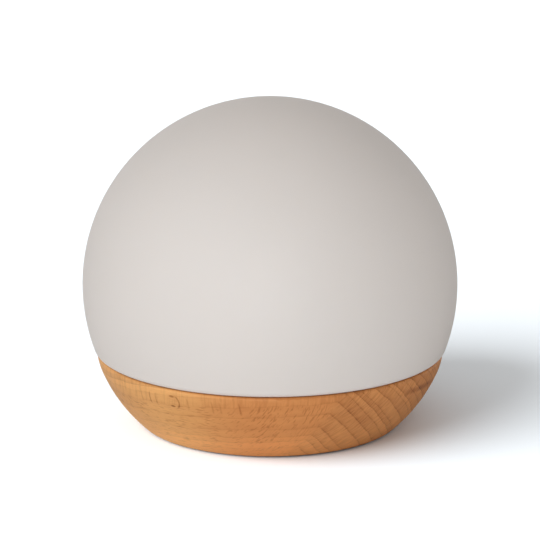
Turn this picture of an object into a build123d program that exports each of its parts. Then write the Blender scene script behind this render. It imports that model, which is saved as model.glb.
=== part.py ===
from build123d import *
import os
from collections import namedtuple
from math import asin, cos, degrees, radians, sin, sqrt

# A globe table lamp: a ball of opal glass that stands in a turned beech bowl, lit from inside by a
# battery-powered light. Millimetres, Z up. The table is z = 0 and the lamp's axis is x = y = 0.
# The front faces -Y. The charging socket and the push button are at the back, on +Y.

# Glass globe
globe_radius = 75.0
globe_centre_z = 56.1
glass_wall = 2.4
globe_turn_in = 3.0
shoulder_z = 29.6
neck_radius = 62.8
neck_fillet = 2.2
neck_bottom_z = 22.0
neck_edge_round = 0.6

# Turned bowl: two tangent arcs outside, a recess above, a cavity inside and a seat below
bowl_bottom_z = 0.8
rim_top_z = 29.3
widest_radius = 69.83
widest_z = 31.9
lip_arc_radius = 24.0
lip_arc_angle = 22.9
flank_arc_radius = 61.7
rim_outer_round = 1.0
rim_inner_round = 0.7
foot_edge_round = 0.5
recess_radius = 64.2
recess_floor_z = 20.5
cavity_radius = 40.5
plate_seat_radius = 47.6
plate_seat_z = 4.0

# Foot ring and base plate
pad_inner_radius = 47.8
pad_outer_radius = 49.4
plate_radius = 47.3
plate_bottom_z = 1.0
plate_edge_chamfer = 0.4

# Chassis that closes the cavity and carries the light
flange_radius = 58.0
flange_thickness = 2.5
hat_radius = 40.2
hat_wall = 1.7
hat_edge_round = 0.8
deck_top_z = 27.0
deck_thickness = 2.2
snap_ring_radius = 33.9
snap_ring_width = 1.1
snap_ring_height = 1.5
lead_slot_length = 5.2
lead_slot_width = 2.4

# Ring under the globe's neck, and the leaf springs inside the neck
seat_ring_inner_radius = 58.6
seat_ring_outer_radius = 63.9
spring_count = 3
spring_first_angle = 90
spring_thickness = 0.5
spring_width = 10.0
spring_gap = 0.7
spring_foot_length = 4.5
spring_heel_back = 2.2
spring_bulge_z = 27.2
spring_top_back = 3.2
spring_top_z = 32.0
spring_bend_radius = 1.2

# Light
spreader_radius = 29.5
spreader_thickness = 2.0
led_board_radius = 27.0
led_board_thickness = 1.6
led_size = 3.0
led_height = 0.8
led_ring_radius = 15.0
led_ring_count = 12
led_middle_radius = 6.0
led_middle_count = 4
insert_radius = 2.0
cover_radius = 35.5
cover_wall = 1.5
cover_straight_z = 33.0
cover_corner_radius = 8.0
cover_top_z = 46.0

# Two battery cells lying along X side by side, their tray, strap and end strips
cell_radius = 9.2
cell_length = 65.0
cell_edge_round = 0.8
cell_contact_radius = 3.5
cell_contact_height = 1.0
cell_gap = 0.1
cell_axis_z = 14.6
cell_front_y = -13.0
cell_rear_y = 5.8
tray_radius = 39.8
tray_floor_thickness = 1.2
saddle_x = 20.0
saddle_thickness = 3.0
saddle_top_z = 12.0
strap_thickness = 0.4
strap_width = 10.0
strap_foot_length = 6.5
tab_thickness = 0.2
tab_width = 7.0
tab_overlap = 8.0
tab_corner_radius = 0.8
tab_ear_width = 4.0
solder_length = 2.6

# Control board behind the cells
board_length = 42.0
board_width = 16.0
board_corner_radius = 2.0
board_centre_y = 25.0
board_bottom_z = 8.0
board_thickness = 1.6
post_radius = 2.4
post_x = 18.5
post_y = 5.5

# Charging socket and push button in a tunnel through the back of the bowl
port_z = 12.8
tunnel_start_y = 33.0
tunnel_width = 26.0
tunnel_height = 9.5
tunnel_edge_round = 0.6
fit_gap = 0.2
bezel_front_y = 57.4
bezel_thickness = 1.6
bezel_chamfer = 0.3
housing_rear_y = 41.5
housing_roof_wall = 1.3
port_board_rear_y = 42.5
port_board_front_y = 53.4
port_board_thickness = 1.2
port_board_width = 20.4
usb_x = -5.6
usb_width = 8.94
usb_height = 3.26
usb_depth = 7.3
usb_wall = 0.3
usb_block_depth = 1.6
tongue_width = 6.7
tongue_thickness = 0.7
tongue_inset = 0.9
switch_width = 6.0
switch_back_y = 49.5
switch_front_y = 53.0
switch_top_z = 14.6
switch_back_wall = 0.7
plunger_width = 2.8
plunger_height = 1.6
button_x = 6.4
button_width = 7.6
button_height = 4.4
button_gap = 0.1
button_edge_round = 0.5
button_stand_out = 0.8
button_travel = 0.8
button_flange_width = 6.2
button_flange_height = 5.2
button_flange_thickness = 1.2
button_flange_corner = 0.8

# Leads, and the sockets that they end in
lead_radius = 0.7
lead_bend_radius = 4.0
thin_lead_radius = 0.5
thin_lead_bend_radius = 1.6
led_lead_x = {"red": 0.75, "black": 3.25}
led_lead_y = 31.3
led_plug_front_y = 18.8
led_plug_back_y = 24.8
led_plug_width = 7.0
led_plug_height = 3.6
battery_socket_size = (6.6, 4.4, 3.8)
led_socket_size = (5.6, 3.4, 4.0)
port_socket_length = 5.6
port_socket_margin = 1.75
port_socket_cover = 1.5
battery_lead_end_x = {"red": 14.0, "black": 11.5}
battery_lead_y = 20.5
battery_lead_z = 18.1
battery_solder_y = 6.5
port_lead_first_x = -9.25
port_lead_pitch = 1.5
port_lead_count = 4
port_lead_rise = 1.9
port_lead_low_y = (45.0, 42.4)
port_lead_high_y = (40.4, 37.0)
port_lead_end_y = (35.0, 32.6)
moulded_edge_round = 0.3

# Screws and rivets: sizes under and over the underside of the head
Fastener = namedtuple("Fastener", "shank_radius shank_length head_radius head_height")
chassis_screw = Fastener(1.5, 12.0, 3.0, 2.2)
plate_screw = Fastener(1.5, 12.0, 3.0, 1.65)
tray_screw = Fastener(1.5, 3.9, 2.75, 1.7)
led_screw = Fastener(1.2, 5.6, 2.3, 1.6)
board_screw = Fastener(0.9, 4.0, 1.8, 1.3)
spring_rivet = Fastener(1.2, 2.9, 2.2, 1.0)
screw_slip = 0.05
screw_clearance = 0.2
cross_length_share = 1.2
cross_width_share = 0.27
cross_depth_share = 0.6
pan_head_round_share = 0.4
rivet_head_round_share = 0.6

# Circles that the screws and rivets lie on, around the axis
plate_screw_circle = 44.0
chassis_screw_circle = 49.0
spring_rivet_circle = 52.0
led_screw_circle = 23.5

# Heights and places that follow from the sizes above
plate_thickness = plate_seat_z - plate_bottom_z
flange_top_z = recess_floor_z + flange_thickness
deck_bottom_z = deck_top_z - deck_thickness
led_board_z = deck_top_z + spreader_thickness
led_board_top_z = led_board_z + led_board_thickness
led_lead_z = led_board_top_z + led_plug_height / 2
tray_floor_top_z = plate_seat_z + tray_floor_thickness
board_top_z = board_bottom_z + board_thickness
bezel_back_y = bezel_front_y - bezel_thickness
port_board_top_z = port_z - usb_height / 2
port_lead_z = port_board_top_z + thin_lead_radius + screw_slip
led_lead_middle_x = sum(led_lead_x.values()) / 2
battery_lead_middle_x = sum(battery_lead_end_x.values()) / 2
cells_middle_y = (cell_front_y + cell_rear_y) / 2
cells_spacing = cell_rear_y - cell_front_y

BOTTOM = (Align.CENTER, Align.CENTER, Align.MIN)
TOP = (Align.CENTER, Align.CENTER, Align.MAX)


def finish(name, builder):
    """Label a finished piece and write it under its own name."""
    builder.part.label = name
    export_step(builder.part, f"parts/{name}.step")


def on_circle(radius, count, start_angle):
    """Points evenly spaced on a circle around the lamp's axis."""
    angles = [radians(start_angle + 360 * turn / count) for turn in range(count)]
    return [(radius * cos(angle), radius * sin(angle)) for angle in angles]


def at_height(points, z):
    """Locations over a list of points, all at one height."""
    return Locations(*[(x, y, z) for x, y in points])


def bore(points, z, radius, depth, align=TOP):
    """Round holes cut down from z, or up from it with align=BOTTOM."""
    with at_height(points, z):
        Cylinder(radius, depth, align=align, mode=Mode.SUBTRACT)


def box_between(low, high):
    """A box from its lowest to its highest corner."""
    size = [high[axis] - low[axis] for axis in range(3)]
    with Locations(tuple(low)):
        Box(*size, align=(Align.MIN, Align.MIN, Align.MIN))


def cross_recess(head_radius, head_height, align):
    """The cross slot in a screw's head, cut at the current locations."""
    length = head_radius * cross_length_share
    width = head_radius * cross_width_share
    depth = head_height * cross_depth_share
    Box(length, width, depth, align=align, mode=Mode.SUBTRACT)
    Box(width, length, depth, align=align, mode=Mode.SUBTRACT)


def pan_screws(points, seat_z, screw):
    """Pan-head screws that point down, with the underside of their heads at seat_z."""
    with BuildPart() as screws:
        with at_height(points, seat_z):
            Cylinder(screw.shank_radius, screw.shank_length, align=TOP)
            Cylinder(screw.head_radius, screw.head_height, align=BOTTOM)
        fillet(screws.edges().group_by(Axis.Z)[-1], screw.head_height * pan_head_round_share)
        with at_height(points, seat_z + screw.head_height):
            cross_recess(screw.head_radius, screw.head_height, TOP)
    return screws


def round_lead(points, bend_radii, radius):
    """A round lead along straight runs joined by tangent arcs."""
    with BuildPart() as wire:
        with BuildLine() as path:
            FilletPolyline(*points, radius=bend_radii)
        with BuildSketch(Plane(origin=path.line @ 0, z_dir=path.line % 0)):
            Circle(radius)
        sweep(path=path.line)
    return wire


plate_screw_points = on_circle(plate_screw_circle, 4, 45)
chassis_screw_points = on_circle(chassis_screw_circle, 3, 30)
spring_rivet_points = on_circle(spring_rivet_circle, spring_count, spring_first_angle)
led_screw_points = on_circle(led_screw_circle, 3, 30)
strap_screw_points = [(0.0, -27.0), (0.0, 18.5)]
tray_screw_points = [(-26.0, 22.0), (26.0, 22.0)]
board_screw_points = [(x, board_centre_y + y) for x in (-post_x, post_x) for y in (-post_y, post_y)]

os.makedirs("parts", exist_ok=True)

# Opal glass globe: a ball that turns in just above the rim and drops as a neck into the bowl.
# The turn is an arc inside the ball, tangent to it and to the flat shoulder.
turn_z = shoulder_z + globe_turn_in
turn_reach = globe_radius - globe_turn_in
turn_angle = degrees(asin((globe_centre_z - turn_z) / turn_reach))
turn_r = turn_reach * cos(radians(turn_angle))


def globe_line(inset):
    """Half outline of the globe, from the top of the ball to the neck, moved in by inset."""
    bend_r = neck_radius + neck_fillet
    bend_z = shoulder_z - neck_fillet
    CenterArc((0, globe_centre_z), globe_radius - inset, -turn_angle, 90 + turn_angle)
    CenterArc((turn_r, turn_z), globe_turn_in - inset, -90, 90 - turn_angle)
    Line((turn_r, shoulder_z + inset), (bend_r, shoulder_z + inset))
    CenterArc((bend_r, bend_z), neck_fillet + inset, 90, 90)
    Line((neck_radius - inset, bend_z), (neck_radius - inset, neck_bottom_z))


with BuildPart() as glass_globe:
    with BuildSketch(Plane.XZ):
        with BuildLine():
            globe_top_z = globe_centre_z + globe_radius
            globe_line(0)
            globe_line(glass_wall)
            Line((0, globe_top_z), (0, globe_top_z - glass_wall))
            Line((neck_radius, neck_bottom_z), (neck_radius - glass_wall, neck_bottom_z))
        make_face()
    revolve(axis=Axis.Z)
    fillet(glass_globe.edges().group_by(Axis.Z)[0], neck_edge_round)
finish("glass_globe", glass_globe)

# Turned beech bowl. Outside, a flat flank arc runs up into a rounder lip arc, tangent to it.
lip_centre_r = widest_radius - lip_arc_radius
lip_high_angle = degrees(asin((widest_z - rim_top_z) / lip_arc_radius))
flank_centre_r = lip_centre_r - (flank_arc_radius - lip_arc_radius) * cos(radians(lip_arc_angle))
flank_centre_z = widest_z + (flank_arc_radius - lip_arc_radius) * sin(radians(lip_arc_angle))
flank_low_angle = degrees(asin((flank_centre_z - bowl_bottom_z) / flank_arc_radius))
foot_radius = flank_centre_r + flank_arc_radius * cos(radians(flank_low_angle))
bowl_corners = {
    (widest_radius, rim_top_z): rim_outer_round,
    (recess_radius, rim_top_z): rim_inner_round,
    (foot_radius, bowl_bottom_z): foot_edge_round,
}

with BuildPart() as wood_base:
    with BuildSketch(Plane.XZ) as bowl_section:
        with BuildLine() as bowl_line:
            CenterArc(
                (flank_centre_r, flank_centre_z),
                flank_arc_radius,
                -flank_low_angle,
                flank_low_angle - lip_arc_angle,
            )
            CenterArc(
                (lip_centre_r, widest_z), lip_arc_radius, -lip_arc_angle, lip_arc_angle - lip_high_angle
            )
            Polyline(
                bowl_line.line @ 1,
                (recess_radius, rim_top_z),
                (recess_radius, recess_floor_z),
                (cavity_radius, recess_floor_z),
                (cavity_radius, plate_seat_z),
                (plate_seat_radius, plate_seat_z),
                (plate_seat_radius, bowl_bottom_z),
                bowl_line.line @ 0,
            )
        make_face()
        for corner, round_radius in bowl_corners.items():
            fillet(bowl_section.vertices().sort_by_distance(corner)[0], round_radius)
    revolve(axis=Axis.Z)
    # The tunnel for the port starts inside the cavity and runs out through the back, where its
    # mouth is rounded
    with BuildSketch(Plane.XZ.offset(-tunnel_start_y)):
        with Locations((0, port_z)):
            SlotOverall(tunnel_width, tunnel_height)
    extrude(amount=-widest_radius, mode=Mode.SUBTRACT)
    tunnel_edges = wood_base.edges().filter_by(GeomType.BSPLINE)
    fillet(tunnel_edges.filter_by_position(Axis.Y, bezel_front_y, widest_radius), tunnel_edge_round)
    pilot_radius = plate_screw.shank_radius + screw_slip
    bore(plate_screw_points, plate_seat_z, pilot_radius, plate_screw.shank_length, BOTTOM)
    bore(chassis_screw_points, recess_floor_z, pilot_radius, chassis_screw.shank_length)
finish("wood_base", wood_base)

# Black rubber ring glued under the bowl
with BuildPart() as foot_pad:
    with BuildSketch():
        Circle(pad_outer_radius)
        Circle(pad_inner_radius, mode=Mode.SUBTRACT)
    extrude(amount=bowl_bottom_z)
finish("foot_pad", foot_pad)

# Steel base plate: closes the bowl from below and weighs it down. Countersunk for the wood
# screws, tapped for the tray's screws.
with BuildPart() as base_plate:
    with Locations((0, 0, plate_bottom_z)):
        Cylinder(plate_radius, plate_thickness, align=BOTTOM)
    chamfer(base_plate.edges().group_by(Axis.Z)[0], plate_edge_chamfer)
    plate_hole_radius = plate_screw.shank_radius + screw_clearance
    bore(plate_screw_points, plate_bottom_z, plate_hole_radius, plate_thickness, BOTTOM)
    with at_height(plate_screw_points, plate_bottom_z):
        Cone(
            plate_screw.head_radius + 2 * screw_slip,
            plate_hole_radius,
            plate_screw.head_height + screw_slip,
            align=BOTTOM,
            mode=Mode.SUBTRACT,
        )
    tapped_radius = tray_screw.shank_radius + screw_slip
    bore(tray_screw_points + strap_screw_points, plate_seat_z, tapped_radius, plate_thickness)
finish("base_plate", base_plate)

# Countersunk wood screws that hold the base plate, heads down
with BuildPart() as plate_screws:
    with at_height(plate_screw_points, plate_bottom_z):
        Cone(
            plate_screw.head_radius, plate_screw.shank_radius, plate_screw.head_height, align=BOTTOM
        )
        Cylinder(plate_screw.shank_radius, plate_screw.shank_length, align=BOTTOM)
        cross_recess(plate_screw.head_radius, plate_screw.head_height, BOTTOM)
finish("plate_screws", plate_screws)

# Chassis: a flange on the recess floor, and a raised deck over the battery with a ring that the
# inner dome is pressed over
hat_inner_radius = hat_radius - hat_wall
snap_ring_inner_radius = snap_ring_radius - snap_ring_width
snap_ring_top_z = deck_top_z + snap_ring_height
with BuildPart() as chassis:
    with BuildSketch(Plane.XZ) as chassis_section:
        with BuildLine():
            Polyline(
                (0, deck_bottom_z),
                (hat_inner_radius, deck_bottom_z),
                (hat_inner_radius, recess_floor_z),
                (flange_radius, recess_floor_z),
                (flange_radius, flange_top_z),
                (hat_radius, flange_top_z),
                (hat_radius, deck_top_z),
                (snap_ring_radius, deck_top_z),
                (snap_ring_radius, snap_ring_top_z),
                (snap_ring_inner_radius, snap_ring_top_z),
                (snap_ring_inner_radius, deck_top_z),
                (0, deck_top_z),
                close=True,
            )
        make_face()
        hat_corner = chassis_section.vertices().sort_by_distance((hat_radius, deck_top_z))[0]
        fillet(hat_corner, hat_edge_round)
    revolve(axis=Axis.Z)
    bore(spring_rivet_points, flange_top_z, spring_rivet.shank_radius + screw_slip, flange_thickness)
    chassis_hole_radius = chassis_screw.shank_radius + screw_clearance
    bore(chassis_screw_points, flange_top_z, chassis_hole_radius, flange_thickness)
    bore(led_screw_points, deck_top_z, insert_radius + screw_slip, deck_thickness)
    with BuildSketch(Plane.XY.offset(deck_top_z)):
        with Locations((led_lead_middle_x, led_lead_y)):
            SlotOverall(lead_slot_length, lead_slot_width)
    extrude(amount=-deck_thickness, mode=Mode.SUBTRACT)
finish("chassis", chassis)

chassis_screws = pan_screws(chassis_screw_points, flange_top_z, chassis_screw)
finish("chassis_screws", chassis_screws)

# Silicone ring that the globe's neck stands on
with BuildPart() as globe_seat_ring:
    with BuildSketch(Plane.XY.offset(recess_floor_z)):
        Circle(seat_ring_outer_radius)
        Circle(seat_ring_inner_radius, mode=Mode.SUBTRACT)
    extrude(amount=neck_bottom_z - recess_floor_z)
finish("globe_seat_ring", globe_seat_ring)

# Leaf springs: bent strips on the flange whose bulge sits just inside the neck
spring_foot_z = flange_top_z + spring_thickness / 2
spring_bulge_r = neck_radius - glass_wall - spring_gap
with BuildPart() as one_spring:
    with BuildSketch(Plane.XZ):
        with BuildLine():
            FilletPolyline(
                (spring_rivet_circle - spring_foot_length, spring_foot_z),
                (spring_bulge_r - spring_heel_back, spring_foot_z),
                (spring_bulge_r, spring_bulge_z),
                (spring_bulge_r - spring_top_back, spring_top_z),
                radius=spring_bend_radius,
            )
        trace(line_width=spring_thickness)
    extrude(amount=spring_width / 2, both=True)
    spring_hole_radius = spring_rivet.shank_radius + screw_slip
    bore([(spring_rivet_circle, 0)], flange_top_z, spring_hole_radius, spring_thickness, BOTTOM)
with BuildPart() as globe_springs:
    with PolarLocations(0, spring_count, start_angle=spring_first_angle):
        add(one_spring.part)
finish("globe_springs", globe_springs)

# Rivets that hold the springs to the flange
with BuildPart() as spring_rivets:
    with at_height(spring_rivet_points, flange_top_z + spring_thickness):
        Cylinder(spring_rivet.shank_radius, spring_rivet.shank_length, align=TOP)
        Cylinder(spring_rivet.head_radius, spring_rivet.head_height, align=BOTTOM)
    fillet(spring_rivets.edges().group_by(Axis.Z)[-1], spring_rivet.head_height * rivet_head_round_share)
finish("spring_rivets", spring_rivets)

# Aluminium disc that spreads the heat of the light
led_hole_radius = led_screw.shank_radius + screw_clearance
with BuildPart() as heat_spreader:
    with Locations((0, 0, deck_top_z)):
        Cylinder(spreader_radius, spreader_thickness, align=BOTTOM)
    chamfer(heat_spreader.edges().group_by(Axis.Z)[-1], plate_edge_chamfer)
    bore(led_screw_points, led_board_z, led_hole_radius, spreader_thickness)
finish("heat_spreader", heat_spreader)

# Round light board
with BuildPart() as led_board:
    with Locations((0, 0, led_board_z)):
        Cylinder(led_board_radius, led_board_thickness, align=BOTTOM)
    bore(led_screw_points, led_board_top_z, led_hole_radius, led_board_thickness)
finish("led_board", led_board)

# Light-emitting diodes: a ring of them, and a few in the middle
with BuildPart() as led_chips:
    with Locations((0, 0, led_board_top_z)):
        with PolarLocations(led_ring_radius, led_ring_count, start_angle=180 / led_ring_count):
            Box(led_size, led_size, led_height, align=BOTTOM)
        with PolarLocations(led_middle_radius, led_middle_count, start_angle=180 / led_middle_count):
            Box(led_size, led_size, led_height, align=BOTTOM)
finish("led_chips", led_chips)

# Connector on the light board, open towards the back
with BuildPart() as led_connector:
    box_between(
        (led_lead_middle_x - led_plug_width / 2, led_plug_front_y, led_board_top_z),
        (led_lead_middle_x + led_plug_width / 2, led_plug_back_y, led_board_top_z + led_plug_height),
    )
    fillet(led_connector.edges().group_by(Axis.Z)[-1], moulded_edge_round)
finish("led_connector", led_connector)

led_screws = pan_screws(led_screw_points, led_board_top_z, led_screw)
finish("led_screws", led_screws)

# Brass inserts in the deck, under the light board's screws
with BuildPart() as brass_inserts:
    with at_height(led_screw_points, deck_bottom_z):
        Cylinder(insert_radius, deck_thickness, align=BOTTOM)
    bore(led_screw_points, deck_top_z, led_screw.shank_radius + screw_slip, deck_thickness)
finish("brass_inserts", brass_inserts)

# Frosted inner dome: a short wall, a corner arc and a flat crown arc, each tangent to the next
cover_corner_r = cover_radius - cover_corner_radius
crown_rise = cover_top_z - cover_straight_z - cover_corner_radius
crown_drop = (cover_corner_r**2 - crown_rise**2) / (2 * crown_rise)
crown_radius = sqrt(cover_corner_r**2 + crown_drop**2) + cover_corner_radius
crown_angle = degrees(asin(cover_corner_r / (crown_radius - cover_corner_radius)))


def cover_line(inset):
    """Half outline of the inner dome, moved in by inset."""
    wall_r = cover_radius - inset
    CenterArc((0, cover_straight_z - crown_drop), crown_radius - inset, 90 - crown_angle, crown_angle)
    CenterArc((cover_corner_r, cover_straight_z), cover_corner_radius - inset, 0, 90 - crown_angle)
    Line((wall_r, cover_straight_z), (wall_r, deck_top_z))


with BuildPart() as led_cover:
    with BuildSketch(Plane.XZ):
        with BuildLine():
            cover_line(0)
            cover_line(cover_wall)
            Line((0, cover_top_z), (0, cover_top_z - cover_wall))
            Line((cover_radius, deck_top_z), (cover_radius - cover_wall, deck_top_z))
        make_face()
    revolve(axis=Axis.Z)
finish("led_cover", led_cover)

# Battery tray: a floor with two saddles for the cells and four posts for the control board
with BuildPart() as battery_tray:
    with Locations((0, 0, plate_seat_z)):
        Cylinder(tray_radius, tray_floor_thickness, align=BOTTOM)
    for side in (-saddle_x, saddle_x):
        box_between(
            (side - saddle_thickness / 2, cell_front_y - cell_radius, tray_floor_top_z),
            (side + saddle_thickness / 2, cell_rear_y + cell_radius, saddle_top_z),
        )
    with Locations((0, cell_front_y, cell_axis_z), (0, cell_rear_y, cell_axis_z)):
        Cylinder(cell_radius + cell_gap, cell_length, rotation=(0, 90, 0), mode=Mode.SUBTRACT)
    post_height = board_bottom_z - plate_seat_z
    with at_height(board_screw_points, plate_seat_z):
        Cylinder(post_radius, post_height, align=BOTTOM)
    bore(board_screw_points, board_bottom_z, board_screw.shank_radius + screw_slip, post_height)
    tray_hole_radius = tray_screw.shank_radius + screw_clearance
    bore(tray_screw_points + strap_screw_points, tray_floor_top_z, tray_hole_radius, tray_floor_thickness)
finish("battery_tray", battery_tray)


def battery_cell(axis_y):
    """One cell along X, with its raised contact at +X."""
    with BuildPart() as cell:
        with Locations((-cell_contact_height / 2, axis_y, cell_axis_z)):
            Cylinder(cell_radius, cell_length - cell_contact_height, rotation=(0, 90, 0))
        fillet(cell.edges().filter_by(GeomType.CIRCLE), cell_edge_round)
        with BuildSketch(Plane.YZ.offset(cell_length / 2)):
            with Locations((axis_y, cell_axis_z)):
                Circle(cell_contact_radius)
        extrude(amount=-2 * cell_contact_height)
    return cell


battery_cell_front = battery_cell(cell_front_y)
finish("battery_cell_front", battery_cell_front)
battery_cell_rear = battery_cell(cell_rear_y)
finish("battery_cell_rear", battery_cell_rear)

# Nickel strips across both ends of the cells, each with a raised ear and the block of solder
# that its lead ends in
tab_x = cell_length / 2
battery_lead_x = tab_x + tab_thickness + lead_radius + screw_slip
with BuildPart() as battery_tabs:
    for side in (-1, 1):
        with BuildSketch(Plane.YZ.offset(side * tab_x)):
            with Locations((cells_middle_y, cell_axis_z)):
                RectangleRounded(cells_spacing + tab_overlap, tab_width, tab_corner_radius)
            with Locations((cell_rear_y, (cell_axis_z + battery_lead_z) / 2)):
                RectangleRounded(tab_ear_width, tab_width, tab_corner_radius)
        extrude(amount=side * tab_thickness)
        with Locations((side * (tab_x + tab_thickness), battery_solder_y, battery_lead_z)):
            outward = Align.MIN if side > 0 else Align.MAX
            Box(2 * lead_radius, solder_length, 2 * lead_radius, align=(outward, Align.MAX, Align.CENTER))
finish("battery_tabs", battery_tabs)

# Steel strap over the middle of both cells, with a foot on each side
strap_inner = cell_radius + cell_gap
strap_outer = strap_inner + strap_thickness
strap_leg = cell_axis_z - tray_floor_top_z
with BuildPart() as battery_strap:
    with BuildSketch(Plane.YZ):
        with Locations((cells_middle_y, tray_floor_top_z)):
            strap_reach = cells_spacing + 2 * (strap_outer + strap_foot_length)
            Rectangle(strap_reach, strap_thickness, align=(Align.CENTER, Align.MIN))
        for radius, mode in ((strap_outer, Mode.ADD), (strap_inner, Mode.SUBTRACT)):
            with Locations((cells_middle_y, cell_axis_z)):
                SlotOverall(cells_spacing + 2 * radius, 2 * radius, mode=mode)
                Rectangle(
                    cells_spacing + 2 * radius, strap_leg, align=(Align.CENTER, Align.MAX), mode=mode
                )
        with Locations((cells_middle_y, tray_floor_top_z)):
            Rectangle(
                strap_reach, strap_thickness, align=(Align.CENTER, Align.MAX), mode=Mode.SUBTRACT
            )
    extrude(amount=strap_width / 2, both=True)
    bore(strap_screw_points, tray_floor_top_z + strap_thickness, tray_hole_radius, strap_thickness)
finish("battery_strap", battery_strap)

# Screws into the base plate: two through the tray, two through the strap's feet and the tray
with BuildPart() as tray_screws:
    add(pan_screws(tray_screw_points, tray_floor_top_z, tray_screw).part)
    add(pan_screws(strap_screw_points, tray_floor_top_z + strap_thickness, tray_screw).part)
finish("tray_screws", tray_screws)

# Control board on the tray's posts
with BuildPart() as control_board:
    with BuildSketch(Plane.XY.offset(board_bottom_z)):
        with Locations((0, board_centre_y)):
            RectangleRounded(board_length, board_width, board_corner_radius)
        with Locations(*board_screw_points):
            Circle(board_screw.shank_radius + screw_clearance, mode=Mode.SUBTRACT)
    extrude(amount=board_thickness)
finish("control_board", control_board)

board_screws = pan_screws(board_screw_points, board_top_z, board_screw)
finish("board_screws", board_screws)

# Parts on the control board: two coils with rounded corners, two chips, a row of small
# resistors and two round capacitors
coils = [((-12.5, 21.0), (7.0, 7.0, 3.4)), ((10.5, 29.0), (6.0, 6.0, 3.0))]
coil_corner_radius = 1.4
chips = [((-3.5, 21.5), (5.0, 5.0, 1.0)), ((4.0, 24.5), (4.0, 5.0, 1.2))]
resistors = [((x, 20.0), (1.25, 2.0, 0.8)) for x in (0.4, 3.0, 5.6)]
capacitor_points = [(-14.5, 27.2), (18.0, 25.0)]
capacitor_radius = 2.0
capacitor_height = 4.6
with BuildPart() as board_parts:
    for place, size in coils:
        with at_height([place], board_top_z):
            Box(*size, align=BOTTOM)
    fillet(board_parts.edges().filter_by(Axis.Z), coil_corner_radius)
    for place, size in chips + resistors:
        with at_height([place], board_top_z):
            Box(*size, align=BOTTOM)
    with at_height(capacitor_points, board_top_z):
        Cylinder(capacitor_radius, capacitor_height, align=BOTTOM)
finish("board_parts", board_parts)

# Connectors on the control board: battery, light, and the port's flat one that opens to the back
port_socket_y = port_lead_end_y[1]
port_lead_last_x = port_lead_first_x + port_lead_pitch * (port_lead_count - 1)
with BuildPart() as board_connectors:
    with Locations((battery_lead_middle_x, battery_lead_y, board_top_z)):
        Box(*battery_socket_size, align=BOTTOM)
    with Locations((led_lead_middle_x, led_lead_y, board_top_z)):
        Box(*led_socket_size, align=BOTTOM)
    box_between(
        (port_lead_first_x - port_socket_margin, port_socket_y - port_socket_length, board_top_z),
        (port_lead_last_x + port_socket_margin, port_socket_y, port_lead_z + port_socket_cover),
    )
    fillet(board_connectors.edges().filter_by(Axis.Z), moulded_edge_round)
finish("board_connectors", board_connectors)

# Battery leads: from the solder along the cavity's wall and over the board into their connector
battery_lead_bends = [lead_bend_radius, lead_bend_radius - lead_radius / 2]
for colour, side in (("red", 1), ("black", -1)):
    end_x = battery_lead_end_x[colour]
    route = [
        (side * battery_lead_x, battery_solder_y, battery_lead_z),
        (side * battery_lead_x, battery_lead_y, battery_lead_z),
        (end_x, battery_lead_y, battery_lead_z),
        (end_x, battery_lead_y, board_top_z + battery_socket_size[2]),
    ]
    finish(f"battery_lead_{colour}", round_lead(route, battery_lead_bends, lead_radius))

# Light leads: straight up through the slot in the deck and over to the light board's connector
for colour, x in led_lead_x.items():
    route = [
        (x, led_lead_y, board_top_z + led_socket_size[2]),
        (x, led_lead_y, led_lead_z),
        (x, led_plug_back_y, led_lead_z),
    ]
    finish(f"led_lead_{colour}", round_lead(route, [lead_bend_radius], lead_radius))

# Port board, with the charging socket and the switch on it
with BuildPart() as port_board:
    box_between(
        (-port_board_width / 2, port_board_rear_y, port_board_top_z - port_board_thickness),
        (port_board_width / 2, port_board_front_y, port_board_top_z),
    )
finish("port_board", port_board)

# Four thin leads from the port board to the control board, with a little slack
with BuildPart() as port_leads:
    for index in range(port_lead_count):
        x = port_lead_first_x + port_lead_pitch * index
        route = [(x, y, port_lead_z) for y in port_lead_low_y]
        route += [(x, y, port_lead_z + port_lead_rise) for y in port_lead_high_y]
        route += [(x, y, port_lead_z) for y in port_lead_end_y]
        add(round_lead(route, thin_lead_bend_radius, thin_lead_radius).part)
finish("port_leads", port_leads)

# Moulded sleeve in the tunnel, closed in front by the bezel
housing_width = tunnel_width - 2 * fit_gap
housing_height = tunnel_height - 2 * fit_gap
housing_floor_z = port_board_top_z - port_board_thickness
housing_roof_z = port_z + housing_height / 2 - housing_roof_wall
with BuildPart() as port_housing:
    with BuildSketch(Plane.XZ.offset(-housing_rear_y)):
        with Locations((0, port_z)):
            SlotOverall(housing_width, housing_height)
        with Locations((0, housing_floor_z)):
            Rectangle(
                port_board_width + 2 * fit_gap,
                housing_roof_z - housing_floor_z,
                align=(Align.CENTER, Align.MIN),
                mode=Mode.SUBTRACT,
            )
    extrude(amount=-(bezel_back_y - housing_rear_y))
finish("port_housing", port_housing)

# Satin aluminium plate with the openings for the socket and the button
with BuildPart() as port_bezel:
    with BuildSketch(Plane.XZ.offset(-bezel_back_y)):
        with Locations((0, port_z)):
            SlotOverall(housing_width, housing_height)
        with Locations((usb_x, port_z)):
            SlotOverall(usb_width + 2 * fit_gap, usb_height + 2 * fit_gap, mode=Mode.SUBTRACT)
        with Locations((button_x, port_z)):
            SlotOverall(button_width + 2 * button_gap, button_height + 2 * button_gap, mode=Mode.SUBTRACT)
    extrude(amount=-bezel_thickness)
    chamfer(port_bezel.edges().group_by(Axis.Y)[-1], bezel_chamfer)
finish("port_bezel", port_bezel)

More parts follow.
